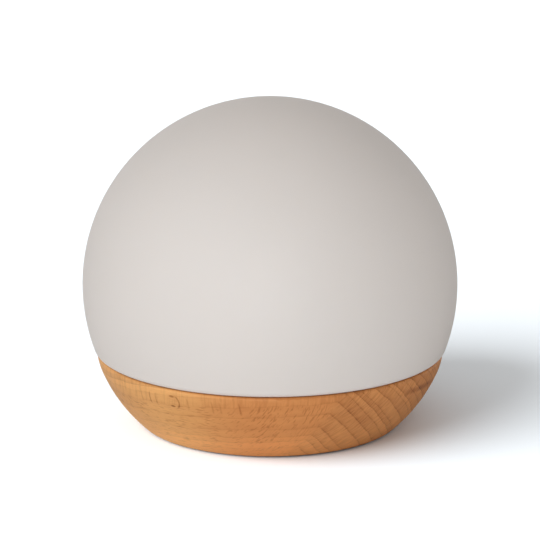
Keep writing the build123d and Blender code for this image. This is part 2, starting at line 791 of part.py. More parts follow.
# Shell of the charging socket, open towards the back of the lamp
usb_back_y = bezel_front_y - usb_depth
usb_mouth_width = usb_width - 2 * usb_wall
usb_mouth_height = usb_height - 2 * usb_wall
with BuildPart() as usb_shell:
    with BuildSketch(Plane.XZ.offset(-usb_back_y)):
        with Locations((usb_x, port_z)):
            SlotOverall(usb_width, usb_height)
            SlotOverall(usb_mouth_width, usb_mouth_height, mode=Mode.SUBTRACT)
    extrude(amount=-usb_depth)
finish("usb_shell", usb_shell)

# Contact tongue on its block at the bottom of the socket
with BuildPart() as usb_tongue:
    with BuildSketch(Plane.XZ.offset(-usb_back_y)):
        with Locations((usb_x, port_z)):
            SlotOverall(usb_mouth_width - screw_slip, usb_mouth_height - screw_slip)
    extrude(amount=-usb_block_depth)
    box_between(
        (usb_x - tongue_width / 2, usb_back_y, port_z - tongue_thickness / 2),
        (usb_x + tongue_width / 2, bezel_front_y - tongue_inset, port_z + tongue_thickness / 2),
    )
finish("usb_tongue", usb_tongue)

# Push switch with a bore for its plunger
with BuildPart() as switch_body:
    box_between(
        (button_x - switch_width / 2, switch_back_y, port_board_top_z),
        (button_x + switch_width / 2, switch_front_y, switch_top_z),
    )
    fillet(switch_body.edges().filter_by(Axis.Y), moulded_edge_round)
    with BuildSketch(Plane.XZ.offset(-switch_front_y)):
        with Locations((button_x, port_z)):
            Rectangle(plunger_width + 2 * screw_slip, plunger_height + 2 * screw_slip)
    extrude(amount=switch_front_y - switch_back_y - switch_back_wall, mode=Mode.SUBTRACT)
finish("switch_body", switch_body)

# Plunger: ends short of the bore's end by the travel and a little more
button_flange_front_y = bezel_back_y - button_gap
button_flange_back_y = button_flange_front_y - button_flange_thickness
plunger_back_y = switch_back_y + switch_back_wall + button_travel + fit_gap
with BuildPart() as switch_plunger:
    box_between(
        (button_x - plunger_width / 2, plunger_back_y, port_z - plunger_height / 2),
        (button_x + plunger_width / 2, button_flange_back_y, port_z + plunger_height / 2),
    )
finish("switch_plunger", switch_plunger)

# Button: a rounded cap through the bezel, held in by the flange behind it
with BuildPart() as button_cap:
    with BuildSketch(Plane.XZ.offset(-button_flange_front_y)):
        with Locations((button_x, port_z)):
            SlotOverall(button_width, button_height)
    extrude(amount=-(bezel_front_y + button_stand_out - button_flange_front_y))
    fillet(button_cap.edges().group_by(Axis.Y)[-1], button_edge_round)
    with BuildSketch(Plane.XZ.offset(-button_flange_back_y)):
        with Locations((button_x, port_z)):
            RectangleRounded(button_flange_width, button_flange_height, button_flange_corner)
    extrude(amount=-button_flange_thickness)
finish("button_cap", button_cap)
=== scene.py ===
import math

import bpy
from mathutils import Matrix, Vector


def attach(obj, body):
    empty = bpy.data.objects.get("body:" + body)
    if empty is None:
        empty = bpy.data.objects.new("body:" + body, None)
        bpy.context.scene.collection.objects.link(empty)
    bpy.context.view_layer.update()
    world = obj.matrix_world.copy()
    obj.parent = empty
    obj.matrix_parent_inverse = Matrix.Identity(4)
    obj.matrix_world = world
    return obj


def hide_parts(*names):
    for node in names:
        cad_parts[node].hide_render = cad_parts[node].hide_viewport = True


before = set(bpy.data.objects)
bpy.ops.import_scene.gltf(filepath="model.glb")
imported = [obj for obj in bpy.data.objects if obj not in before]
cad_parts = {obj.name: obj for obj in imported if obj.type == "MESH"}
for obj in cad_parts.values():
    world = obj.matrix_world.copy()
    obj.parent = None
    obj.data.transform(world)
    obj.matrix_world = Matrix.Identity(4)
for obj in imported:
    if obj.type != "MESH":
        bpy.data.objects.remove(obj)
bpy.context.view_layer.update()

# The view, the table and the light. A white table under and behind the lamp, a large soft light
# low on the left, a weaker one in front, and even light from all round.
scene = bpy.context.scene
scene.view_settings.view_transform = "Standard"


def linear(hex_colour):
    """An sRGB hex colour as linear red, green, blue and alpha."""
    channels = [int(hex_colour[i : i + 2], 16) / 255 for i in (1, 3, 5)]
    return [c / 12.92 if c <= 0.04045 else ((c + 0.055) / 1.055) ** 2.4 for c in channels] + [1.0]


def add(tree, kind, inputs=None, **settings):
    """Add a node, set it, and link or fill its inputs by name or number.

    A shader node's kind is given without its ShaderNode in front. A node given as an input stands
    for its first output that is in use.
    """
    node = tree.nodes.new(kind if "Node" in kind else "ShaderNode" + kind)
    for name, value in settings.items():
        setattr(node, name, value)
    for key, value in (inputs or {}).items():
        if isinstance(key, str):
            socket = next(s for s in node.inputs if s.name == key and s.enabled)
        else:
            socket = node.inputs[key]
        if isinstance(value, bpy.types.Node):
            value = next(s for s in value.outputs if s.enabled)
        if isinstance(value, bpy.types.NodeSocket):
            tree.links.new(value, socket)
        else:
            socket.default_value = value
    return node


def new_material(name):
    """An empty material, its node tree, and the place on the piece in millimetres."""
    material = bpy.data.materials.new(name)
    material.use_nodes = True
    tree = material.node_tree
    tree.nodes.clear()
    place = add(tree, "TexCoord").outputs["Object"]
    millimetres = add(tree, "VectorMath", {0: place, "Scale": 1000.0}, operation="SCALE")
    return material, tree, millimetres


view_distance = 0.900
view_height = 0.0616
view_elevation = math.radians(14.0)
camera_data = bpy.data.cameras.new("camera")
camera_data.sensor_width = 36.0
camera_data.lens = 149.73
camera_data.clip_start = 0.01
camera = bpy.data.objects.new("camera", camera_data)
camera.location = (
    0,
    -view_distance * math.cos(view_elevation),
    view_height + view_distance * math.sin(view_elevation),
)
camera.rotation_euler = (math.pi / 2 - view_elevation, 0, 0)
scene.collection.objects.link(camera)
scene.camera = camera

floor_half = 4.0
floor_mesh = bpy.data.meshes.new("floor")
corners = [(x * floor_half, y * floor_half, 0) for x, y in ((-1, -1), (1, -1), (1, 1), (-1, 1))]
floor_mesh.from_pydata(corners, [], [(0, 1, 2, 3)])
floor = bpy.data.objects.new("floor", floor_mesh)
scene.collection.objects.link(floor)
material, tree, place = new_material("white_table")
rays = add(tree, "LightPath")
lit = add(tree, "BsdfDiffuse", {"Color": linear("#b4b4b4")})
shown = add(tree, "BsdfDiffuse", {"Color": linear("#eff8ff")})
mix = add(tree, "MixShader", {0: rays.outputs["Is Camera Ray"], 1: lit, 2: shown})
add(tree, "OutputMaterial", {"Surface": mix})
floor_mesh.materials.append(material)

table_only = bpy.data.collections.new("table_only")
table_only.objects.link(floor)
all_but_table = bpy.data.collections.new("all_but_table")
all_but_table.objects.link(floor)
light_aim = 0.05
light_distance = 1.1


def soft_light(name, kind, azimuth, elevation, power, receivers=None, **settings):
    """A soft light that faces the lamp, from degrees round from the left towards the front."""
    turn, lift = math.radians(azimuth), math.radians(elevation)
    away = Vector(
        (-math.cos(lift) * math.cos(turn), -math.cos(lift) * math.sin(turn), math.sin(lift))
    )
    data = bpy.data.lights.new(name, kind)
    data.energy = power
    for key, value in settings.items():
        setattr(data, key, value)
    light = bpy.data.objects.new(name, data)
    light.location = Vector((0, 0, light_aim)) + away * light_distance
    light.rotation_mode = "QUATERNION"
    light.rotation_quaternion = away.to_track_quat("Z", "Y")
    if receivers:
        light.light_linking.receiver_collection = receivers
    scene.collection.objects.link(light)


key_angle = math.radians(55)
soft_light("key_light", "SUN", 32, 30, 0.76, angle=key_angle)
soft_light("key_light_on_table", "SUN", 34, 30, 3.60, table_only, angle=key_angle)
soft_light("sky_light_on_table", "SUN", 0, 90, 0.86, table_only, angle=math.pi)
soft_light("front_fill", "AREA", 90, 8, 4.4, all_but_table, shape="SQUARE", size=0.6)
all_but_table.collection_objects[0].light_linking.link_state = "EXCLUDE"

world = bpy.data.worlds.new("studio")
scene.world = world
world.use_nodes = True
tree = world.node_tree
tree.nodes.clear()
rays = add(tree, "LightPath").outputs
seen = add(tree, "Math", {0: rays["Is Camera Ray"], 1: rays["Is Glossy Ray"]}, operation="MAXIMUM")
seen = add(tree, "Math", {0: seen, 1: rays["Is Transmission Ray"]}, operation="MAXIMUM")
fill = add(tree, "Background", {"Color": linear("#fef3ea"), "Strength": 0.345})
white = add(tree, "Background", {"Color": (1, 1, 1, 1), "Strength": 1.0})
mix = add(tree, "MixShader", {0: seen, 1: fill, 2: white})
add(tree, "OutputWorld", {"Surface": mix})

# Glass globe. Opal glass blown in a mould and etched outside to a satin finish: a milky body that
# light soaks into, with no clear reflection. Its neck stands on a soft ring inside the bowl. From
# here on, lengths are in millimetres, apart from those on the shaders' own sockets.
globe_radius = 75.0
globe_centre = 56.1
glass_wall = 2.4
glass_turn = 3.0
glass_shoulder = 29.6
neck_radius = 62.8
neck_bend = 2.2
neck_bottom = 22.0
neck_edge = 0.6
weld = 0.001


def arc(centre, radius, start, end, steps):
    """Points along an arc in the turning plane, angles in degrees."""
    turns = [math.radians(start + (end - start) * i / steps) for i in range(steps + 1)]
    return [(centre[0] + radius * math.cos(a), centre[1] + radius * math.sin(a)) for a in turns]


def new_tree(name, **inputs):
    """An empty geometry node tree and its named inputs, listed by their kind of socket."""
    tree = bpy.data.node_groups.new(name, "GeometryNodeTree")
    for kind, titles in inputs.items():
        for title in titles:
            tree.interface.new_socket(title, in_out="INPUT", socket_type="NodeSocket" + kind)
    tree.interface.new_socket("Geometry", in_out="OUTPUT", socket_type="NodeSocketGeometry")
    return tree, add(tree, "NodeGroupInput").outputs


def flat_grid(tree, segments, rows):
    """A grid to roll up: its mesh, and each point's row and its share of a turn."""
    columns = add(tree, "Math", {0: segments, 1: 1.0}, operation="ADD")
    grid = add(tree, "GeometryNodeMeshGrid", {"Vertices X": columns, "Vertices Y": rows})
    index = add(tree, "GeometryNodeInputIndex")
    row = add(tree, "Math", {0: index, 1: rows}, operation="MODULO")
    turn = add(tree, "Math", {0: index, 1: rows}, operation="DIVIDE")
    turn = add(tree, "Math", {0: turn}, operation="FLOOR")
    turn = add(tree, "Math", {0: turn, 1: segments}, operation="DIVIDE")
    return grid.outputs["Mesh"], row, turn


def rolled_up(tree, grid, point, turn):
    """The grid with each point of its section turned round the axis, and its seam closed."""
    angle = add(tree, "Math", {0: turn, 1: math.tau}, operation="MULTIPLY")
    point = add(tree, "VectorRotate", {"Vector": point, "Axis": (0, 0, 1), "Angle": angle})
    rolled = add(tree, "GeometryNodeSetPosition", {"Geometry": grid, "Position": point})
    return add(tree, "GeometryNodeMergeByDistance", {"Geometry": rolled, "Distance": weld / 1000})


def set_at_places(tree, given, piece, **more):
    """End a tree with the piece at each of its places, made real, in its material."""
    places = add(tree, "GeometryNodeObjectInfo", {"Object": given["Places"]}).outputs["Geometry"]
    placed = add(
        tree, "GeometryNodeInstanceOnPoints", {"Points": places, "Instance": piece, **more}
    )
    real = add(tree, "GeometryNodeRealizeInstances", {0: placed})
    done = add(tree, "GeometryNodeSetMaterial", {"Geometry": real, "Material": given["Material"]})
    add(tree, "NodeGroupOutput", {0: done})


def lathe_tree():
    """Geometry nodes that turn a section round its axis and set the result at each place."""
    tree, given = new_tree(
        "lathe", Object=["Profile", "Places"], Int=["Segments"], Material=["Material"]
    )
    profile = add(tree, "GeometryNodeObjectInfo", {"Object": given["Profile"]}).outputs["Geometry"]
    count = add(tree, "GeometryNodeAttributeDomainSize", {0: profile}, component="MESH")
    grid, row, turn = flat_grid(tree, given["Segments"], count.outputs["Point Count"])
    place = add(tree, "GeometryNodeInputPosition")
    found = {0: profile, "Value": place, "Index": row}
    point = add(tree, "GeometryNodeSampleIndex", found, data_type="FLOAT_VECTOR", domain="POINT")
    turned = rolled_up(tree, grid, point, turn)
    set_at_places(tree, given, add(tree, "GeometryNodeSetShadeSmooth", {"Geometry": turned}))
    return tree


def evaluate(name, tree, values):
    """Run a geometry node tree with named values and keep its result as a plain mesh.

    The objects among the values are only read by the tree, and go with it.
    """
    start = bpy.data.objects.new("start", bpy.data.meshes.new("start"))
    scene.collection.objects.link(start)
    modifier = start.modifiers.new("tree", "NODES")
    modifier.node_group = tree
    sockets = {item.name: item.identifier for item in tree.interface.items_tree}
    for key, value in values.items():
        modifier[sockets[key]] = value
    start.update_tag()
    depsgraph = bpy.context.evaluated_depsgraph_get()
    mesh = bpy.data.meshes.new_from_object(start.evaluated_get(depsgraph), depsgraph=depsgraph)
    mesh.name = name
    read = [value for value in values.values() if isinstance(value, bpy.types.Object)]
    for helper in (start, *read):
        bpy.data.objects.remove(helper)
    piece = bpy.data.objects.new(name, mesh)
    scene.collection.objects.link(piece)
    return piece


lathe = lathe_tree()


def loose_points(points):
    """An object of loose points that a tree reads."""
    mesh = bpy.data.meshes.new("points")
    mesh.from_pydata([[c / 1000 for c in point] for point in points], [], [])
    holder = bpy.data.objects.new("points", mesh)
    scene.collection.objects.link(holder)
    return holder


def turned_piece(name, profile, segments, material, points=((0, 0, 0),)):
    """A piece of revolution at each point, from its half section as radius and height.

    The section's last point is joined to its first.
    """
    values = {
        "Profile": loose_points([(r, 0, z) for r, z in profile + profile[:1]]),
        "Places": loose_points(points),
        "Segments": segments,
        "Material": material,
    }
    piece = evaluate(name, lathe, values)
    piece.data.set_sharp_from_angle(angle=math.radians(40))
    return piece


turn_height = glass_shoulder + glass_turn
turn_reach = globe_radius - glass_turn
turn_angle = math.degrees(math.asin((globe_centre - turn_height) / turn_reach))
turn_radius = turn_reach * math.cos(math.radians(turn_angle))
bend_centre = (neck_radius + neck_bend, glass_shoulder - neck_bend)
outside = (
    arc((neck_radius - neck_edge, neck_bottom + neck_edge), neck_edge, -90, 0, 4)
    + arc(bend_centre, neck_bend, 180, 90, 8)
    + arc((turn_radius, turn_height), glass_turn, -90, -turn_angle, 10)
    + arc((0, globe_centre), globe_radius, -turn_angle, 90, 110)[1:]
)
inner_edge = neck_radius - glass_wall + neck_edge
inside = (
    arc((0, globe_centre), globe_radius - glass_wall, 90, -turn_angle, 90)
    + arc((turn_radius, turn_height), glass_turn - glass_wall, -turn_angle, -90, 4)[1:]
    + arc(bend_centre, neck_bend + glass_wall, 90, 180, 10)
    + arc((inner_edge, neck_bottom + neck_edge), neck_edge, 180, 270, 4)
)

material, tree, place = new_material("satin_opal_glass")
etch = add(tree, "TexNoise", {"Vector": place, "Scale": 2.5, "Detail": 3.0})
cloud = add(tree, "TexNoise", {"Vector": place, "Scale": 0.022, "Detail": 2.0})
milk = add(
    tree, "Mix", {"Factor": cloud, "A": linear("#ece7e3"), "B": linear("#e8e4e1")}, data_type="RGBA"
)
haze = add(tree, "MapRange", {"Value": etch, 3: 0.50, 4: 0.60})
pits = add(tree, "Bump", {"Height": etch, "Strength": 0.06, "Distance": 0.0001})
body = add(
    tree,
    "BsdfPrincipled",
    {
        "Base Color": milk,
        "Roughness": haze,
        "IOR": 1.5,
        "Subsurface Weight": 0.4,
        "Subsurface Radius": (0.006, 0.0055, 0.005),
        "Subsurface Scale": 1.0,
        "Normal": pits,
    },
)
add(tree, "OutputMaterial", {"Surface": body})
glass_globe = turned_piece("opal_globe", outside + inside, 288, material)
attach(glass_globe, "globe")
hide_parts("glass_globe")

# Bowl. One block of beech turned on a lathe with a soft rounded lip, drilled and recessed inside,
# then sanded and oiled. The globe's neck drops into its recess.
material, tree, place = new_material("oiled_turned_beech")

# The year rings are two sheets of layers that meet at a kink on the right of the front: layers
# that lie nearly flat, and layers that dip to the right, where the end grain shows. The rings'
# places are depths across these layers, in millimetres.
smoothly = {"interpolation_type": "SMOOTHSTEP"}
dipping_across = (-0.5375, -0.3767, -0.7544)
flat_across = (0.0418, -0.102, -1.0713)
flat_start = 11.18
sway = add(tree, "TexNoise", {"Vector": place, "Scale": 0.075, "Detail": 3.0, "Roughness": 0.55})
sway = add(tree, "VectorMath", {0: sway.outputs["Color"], 1: (0.5, 0.5, 0.5)}, operation="SUBTRACT")
sway = add(tree, "VectorMath", {0: sway, "Scale": 2.2}, operation="SCALE")
grown = add(tree, "VectorMath", {0: place, 1: sway}, operation="ADD")
dipping = add(tree, "VectorMath", {0: grown, 1: dipping_across}, operation="DOT_PRODUCT")
flat = add(tree, "VectorMath", {0: grown, 1: flat_across}, operation="DOT_PRODUCT")
flat = add(tree, "Math", {0: flat, 1: flat_start}, operation="ADD")
depth = add(tree, "Math", {0: dipping, 1: flat}, operation="MINIMUM")
kink = add(tree, "Math", {0: flat, 1: dipping}, operation="SUBTRACT")
end_grain = add(tree, "MapRange", {"Value": kink, 1: -2.5, 2: 2.5}, **smoothly)

ring_depths = [
    -72, -69.2, -66, -63.5, -60, -57, -54, -51.2, -48.5, -46.3, -44.9, -43, -39.39, -35.3, -32.35,
    -28.5, -26.87, -22.54, -18.03, -16.06, -13.49, -9.34, -4.5, 1.38, 5.1, 7.67, 10.83, 14.5, 18,
]
ring_span = ring_depths[-1] - ring_depths[0]
ring_last = len(ring_depths) - 1


def draw_runs(node, points):
    """Draw the line of a curve node as straight runs through points from 0 to 1."""
    curve = node.mapping.curves[0]
    curve.points[0].location, curve.points[1].location = points[0], points[-1]
    for x, y in points[1:-1]:
        curve.points.new(x, y)
    for point in curve.points:
        point.handle_type = "VECTOR"
    node.mapping.update()


across = add(tree, "MapRange", {"Value": depth, 1: ring_depths[0], 2: ring_depths[-1]})
rings = add(tree, "FloatCurve", {"Value": across})
draw_runs(
    rings, [((at - ring_depths[0]) / ring_span, i / ring_last) for i, at in enumerate(ring_depths)]
)
rings = add(tree, "Math", {0: rings, 1: float(ring_last)}, operation="MULTIPLY")
season = add(tree, "Math", {0: rings}, operation="FRACT")
year = add(tree, "Math", {0: rings}, operation="FLOOR")

# Each ring darkens towards its late edge and starts again light
late_wood = add(tree, "FloatCurve", {"Value": season})
shades = [(0.0, 0.8), (0.025, 0.4), (0.05, 0.1), (0.1, 0.0), (0.45, 0.05), (0.7, 0.2), (0.85, 0.36)]
draw_runs(late_wood, shades + [(0.92, 0.55), (0.97, 1.0), (1.0, 1.0)])
line_weight = add(tree, "MapRange", {"Value": end_grain, 3: 0.42, 4: 1.0})
faint = add(tree, "TexNoise", {"Vector": place, "Scale": 0.35, "Detail": 2.0})
faint = add(tree, "MapRange", {"Value": faint, 1: 0.36, 2: 0.6, 3: 0.45, 4: 1.0})
line_weight = add(tree, "Math", {0: line_weight, 1: faint}, operation="MULTIPLY")
late_wood = add(tree, "Math", {0: late_wood, 1: line_weight}, operation="MULTIPLY")
year_tone = add(tree, "TexWhiteNoise", {"W": year}, noise_dimensions="1D")
year_tone = add(tree, "Math", {0: year_tone.outputs["Value"], 1: 0.5}, operation="SUBTRACT")

# The band under the lip is painted lighter, as painted light from the key on its upright face, and
# ends at one ring; the darker line of tone under it is painted shade where the lip meets the flank
lip_ring = -9.0
painted_light_lip_band = add(
    tree, "MapRange", {"Value": flat, 1: lip_ring - 0.6, 2: lip_ring, 3: 1.0, 4: 0.0}, **smoothly
)
painted_light_lip_band = add(tree, "Math", {0: painted_light_lip_band, 1: end_grain}, operation="SUBTRACT", use_clamp=True)
painted_shade_under_lip = add(tree, "MapRange", {"Value": flat, 1: lip_ring - 0.2, 2: lip_ring + 2.4, 3: 1.0, 4: 0.0})
above = add(tree, "MapRange", {"Value": flat, 1: lip_ring - 0.4, 2: lip_ring})
painted_shade_under_lip = add(tree, "Math", {0: painted_shade_under_lip, 1: above}, operation="MULTIPLY")
painted_shade_under_lip = add(tree, "Math", {0: painted_shade_under_lip, 1: end_grain}, operation="SUBTRACT", use_clamp=True)

# Along the fibres, and across them on each face of the layers
fibre_way = (0.82, -0.57, 0)
fibre = add(tree, "VectorMath", {0: place, 1: fibre_way}, operation="DOT_PRODUCT")
level = add(tree, "VectorMath", {0: place, 1: (0.57, 0.82, 0)}, operation="DOT_PRODUCT")
height = add(tree, "SeparateXYZ", {0: place}).outputs["Z"]
ray_side = add(tree, "VectorMath", {0: place, 1: (0.438, 0.631, -0.635)}, operation="DOT_PRODUCT")
ray_along = add(tree, "VectorMath", {0: place, 1: (0.362, 0.521, 0.767)}, operation="DOT_PRODUCT")
off_middle = add(tree, "Math", {0: fibre}, operation="ABSOLUTE")
turning = add(tree, "MapRange", {"Value": off_middle, 1: 14.0, 2: 26.0}, **smoothly)

# Flecks: the ends of the wood's rays. Short level dashes where the layers lie flat, leaning ones
# where the bowl turns away, and fine streaks in the end grain. Their 0.1 mm is drawn 0.3 mm wide.
def stretched(tree, *ways):
    """Cells for a noise: each way through the wood, divided by the cell's size that way."""
    parts = [add(tree, "Math", {0: way, 1: size}, operation="DIVIDE") for way, size in ways]
    return add(tree, "CombineXYZ", dict(enumerate(parts)))


flecks = []
for ways in (
    ((height, 0.25), (fibre, 1.9), (level, 6.0)),
    ((level, 0.27), (height, 2.2), (fibre, 1.6)),
    ((ray_side, 0.26), (ray_along, 5.0), (fibre, 2.0)),
):
    flecks.append(
        add(tree, "TexNoise", {"Vector": stretched(tree, *ways), "Scale": 0.6, "Detail": 1.0})
    )
dashes = add(tree, "Mix", {"Factor": turning, "A": flecks[0], "B": flecks[1]})
dashes = add(tree, "MapRange", {"Value": dashes, 1: 0.54, 2: 0.66}, **smoothly)
patchy = add(tree, "TexNoise", {"Vector": place, "Scale": 0.11, "Detail": 1.0})
patchy = add(tree, "MapRange", {"Value": patchy, 1: 0.38, 2: 0.62, 3: 0.55, 4: 1.0})
dashes = add(tree, "Math", {0: dashes, 1: patchy}, operation="MULTIPLY")
plain = add(tree, "MapRange", {"Value": painted_light_lip_band, 3: 1.0, 4: 0.25})
dashes = add(tree, "Math", {0: dashes, 1: plain}, operation="MULTIPLY")
streaks = add(tree, "MapRange", {"Value": flecks[2], 1: 0.42, 2: 0.66, 3: 0.0, 4: 0.8})
fleck = add(tree, "Mix", {"Factor": end_grain, "A": dashes, "B": streaks})

# Long fibre streaks, and slow patches of tone
long_cells = stretched(tree, (level, 1.5), (height, 1.5), (fibre, 25.0))
streak = add(tree, "TexNoise", {"Vector": long_cells, "Scale": 0.6, "Detail": 3.0})
patch = add(tree, "TexNoise", {"Vector": place, "Scale": 0.035, "Detail": 2.0})

# A small knot at the left of the front: two dark pips, and ripples to both sides under the lip
knot_place = (-37.2, -57.6, 24.3)
from_knot = add(tree, "VectorMath", {0: place, 1: knot_place}, operation="SUBTRACT")
aside = add(tree, "VectorMath", {0: from_knot, 1: fibre_way}, operation="DOT_PRODUCT")
up = add(tree, "SeparateXYZ", {0: from_knot}).outputs["Z"]
squared = add(tree, "Math", {0: up, 1: up}, operation="MULTIPLY")
reach = add(tree, "Math", {0: aside, 1: aside, 2: squared}, operation="MULTIPLY_ADD")
reach = add(tree, "Math", {0: reach}, operation="SQRT")
side_of = add(tree, "Math", {0: aside}, operation="SIGN")
signed = add(tree, "Math", {0: reach, 1: side_of}, operation="MULTIPLY")
ripple_low, ripple_high = -20.0, 30.0
ripple = add(tree, "MapRange", {"Value": signed, 1: ripple_low, 2: ripple_high})
ripple = add(tree, "FloatCurve", {"Value": ripple})
half_line = 0.45
heights = [(0.0, 0.0)]
for at, weight in (
    (-15.6, 0.5), (-11, 0.85), (-8, 0.55), (3.2, 1.0), (7.2, 0.3), (17, 0.45), (20, 0.35), (27, 0.7)
):
    for step, share in ((-half_line, 0.0), (0.0, weight), (half_line, 0.0)):
        heights.append(((at + step - ripple_low) / (ripple_high - ripple_low), share))
draw_runs(ripple, heights + [(1.0, 0.0)])
ripple_band = add(tree, "Math", {0: up}, operation="ABSOLUTE")
ripple_band = add(
    tree, "MapRange", {"Value": ripple_band, 1: 1.6, 2: 3.2, 3: 1.0, 4: 0.0}, **smoothly
)
ripple = add(tree, "Math", {0: ripple, 1: ripple_band}, operation="MULTIPLY")
pips = ripple
for pip_place, pip_radius in (((-37.5, -58.3, 26.7), 1.0), ((-36.8, -57.1, 22.5), 0.9)):
    gap = add(tree, "VectorMath", {0: place, 1: pip_place}, operation="SUBTRACT")
    gap = add(tree, "VectorMath", {0: gap, 1: (0.6, 0.6, 1.5)}, operation="MULTIPLY")
    gap = add(tree, "VectorMath", {0: gap}, operation="LENGTH")
    gap = add(tree, "MapRange", {"Value": gap, 1: 0.3, 2: pip_radius, 3: 1.0, 4: 0.0}, **smoothly)
    pips = add(tree, "Math", {0: pips, 1: gap}, operation="MAXIMUM")

# Fine upright ticks of the rays in the painted-light band, and a darker streak just under the lip
# at the right of the front
sideways = add(tree, "VectorMath", {0: place, 1: (1 / 0.5, 1 / 4.0, 1 / 6.0)}, operation="MULTIPLY")
ticks = add(tree, "TexNoise", {"Vector": sideways, "Scale": 0.6, "Detail": 1.0})
ticks = add(tree, "MapRange", {"Value": ticks, 1: 0.46, 2: 0.66})
ticks = add(tree, "Math", {0: ticks, 1: painted_light_lip_band}, operation="MULTIPLY")
streak_start, streak_end = Vector((51.0, -45.0, 23.6)), Vector((66.0, -20.0, 26.0))
streak_way = streak_end - streak_start
on_streak = add(tree, "VectorMath", {0: place, 1: streak_start}, operation="SUBTRACT")
run = add(tree, "VectorMath", {0: on_streak, 1: streak_way.normalized()}, operation="DOT_PRODUCT")
run = add(
    tree, "MapRange", {"Value": run, 1: 0.0, 2: streak_way.length, 3: -1.0, 4: 1.0}, clamp=False
)
run = add(tree, "Math", {0: run}, operation="ABSOLUTE")
run = add(tree, "MapRange", {"Value": run, 1: 0.5, 2: 1.2, 3: 1.0, 4: 0.0}, **smoothly)
lift = add(tree, "VectorMath", {0: on_streak, 1: (-0.07, 0.11, 0.99)}, operation="DOT_PRODUCT")
lift = add(tree, "Math", {0: lift}, operation="ABSOLUTE")
lift = add(tree, "MapRange", {"Value": lift, 1: 0.2, 2: 2.0, 3: 1.0, 4: 0.0}, **smoothly)
dark_streak_under_lip = add(tree, "Math", {0: run, 1: lift}, operation="MULTIPLY")

# Painted light: the wood is painted paler low on the bowl, standing in for light thrown up from the
# table
painted_bounce_light = add(tree, "MapRange", {"Value": height, 1: 16.0, 2: 2.0})

# All tones together: one brightness, and one warmth where the wood is darker
tone = add(tree, "Math", {0: late_wood, 1: -0.34, 2: 1.0}, operation="MULTIPLY_ADD")
for value, share in (
    (fleck, -0.24),
    (pips, -0.42),
    (ticks, -0.10),
    (dark_streak_under_lip, -0.27),
    (painted_shade_under_lip, -0.06),
    (painted_light_lip_band, 0.07),
    (year_tone, 0.15),
    (painted_bounce_light, 0.26),
):
    tone = add(tree, "Math", {0: value, 1: share, 2: tone}, operation="MULTIPLY_ADD")
for value, share in ((streak, 0.17), (patch, 0.14)):
    value = add(tree, "Math", {0: value, 1: 0.5}, operation="SUBTRACT")
    tone = add(tree, "Math", {0: value, 1: share, 2: tone}, operation="MULTIPLY_ADD")
# Painted light: the bowl's colour is painted paler towards the left, standing in for the key light
# from the left
aside = add(tree, "SeparateXYZ", {0: place}).outputs["X"]
painted_left_light = add(tree, "MapRange", {"Value": aside, 1: -42.0, 2: -4.0}, **smoothly)
ground = add(
    tree, "Mix", {"Factor": painted_left_light, "A": linear("#e7ad6c"), "B": linear("#d89256")}, data_type="RGBA"
)
ground = add(
    tree, "Mix", {"Factor": end_grain, "A": ground, "B": linear("#d49257")}, data_type="RGBA"
)
dark = add(tree, "Math", {0: 1.0, 1: tone}, operation="SUBTRACT", use_clamp=True)
dark = add(tree, "Math", {0: dark, 1: 2.2}, operation="MULTIPLY", use_clamp=True)
warm = add(
    tree, "Mix", {"Factor": dark, "A": (1, 1, 1, 1), "B": (1.0, 0.80, 0.66, 1)}, data_type="RGBA"
)
colour = add(tree, "VectorMath", {0: ground, 1: warm}, operation="MULTIPLY")
colour = add(tree, "VectorMath", {0: colour, "Scale": tone}, operation="SCALE")
oil = add(tree, "MapRange", {"Value": streak, 1: 0.3, 2: 0.7, 3: 0.44, 4: 0.54})
grain_height = add(tree, "Math", {0: fleck, 1: -0.5, 2: streak}, operation="MULTIPLY_ADD")
grain = add(tree, "Bump", {"Height": grain_height, "Strength": 0.25, "Distance": 0.0001})
body = add(
    tree,
    "BsdfPrincipled",
    {
        "Base Color": colour,
        "Roughness": oil,
        "IOR": 1.47,
        "Specular IOR Level": 0.3,
        "Normal": grain,
    },
)
add(tree, "OutputMaterial", {"Surface": body})


def dress(material, *names):
    """Give solids of the frame their material."""
    for name in names:
        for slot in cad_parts[name].material_slots:
            slot.material = material


dress(material, "wood_base")

# Foot. A ring of black rubber glued under the bowl, set back from its edge and moulded with a
# groove so that it grips the table. It lifts the bowl off the table by less than a millimetre.
def moulded(name, colour, roughness, grain, depth, **settings):
    """Moulded plastic or rubber, and the size and depth of the fine grain of its mould."""
    material, tree, place = new_material(name)
    grit = add(tree, "TexNoise", {"Vector": place, "Scale": 1 / grain, "Detail": 2.0})
    flow = add(tree, "TexNoise", {"Vector": place, "Scale": 0.06, "Detail": 2.0})
    tone = add(tree, "MapRange", {"Value": flow, 3: 0.94, 4: 1.06})
    shade = add(tree, "VectorMath", {0: linear(colour)[:3], "Scale": tone}, operation="SCALE")
    gloss = add(tree, "MapRange", {"Value": grit, 3: roughness - 0.06, 4: roughness + 0.06})
    bump = add(tree, "Bump", {"Height": grit, "Strength": 0.6, "Distance": depth / 1000})
    body = add(
        tree,
        "BsdfPrincipled",
        {"Base Color": shade, "Roughness": gloss, "Normal": bump, **settings},
    )
    add(tree, "OutputMaterial", {"Surface": body})
    return material


# Vulcanised rubber: nearly black, dull, with a fine grain
rubber = moulded("vulcanised_black_rubber", "#1b1a1a", 0.72, 0.35, 0.02)
foot_profile = [
    (47.95, 0.00), (48.50, 0.00), (48.56, 0.20), (48.64, 0.20), (48.70, 0.00), (49.25, 0.00),
    (49.40, 0.15), (49.40, 0.68), (49.28, 0.80), (47.92, 0.80), (47.80, 0.68), (47.80, 0.15),
]
foot = turned_piece("rubber_foot", foot_profile, 240, rubber)
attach(foot, "lamp_base")
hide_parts("foot_pad")

# Base plate. Sheet steel that closes the bowl from below and is its ballast, countersunk for four
# wood screws, and powder coated black.
material, tree, place = new_material("black_powder_coat_on_steel")
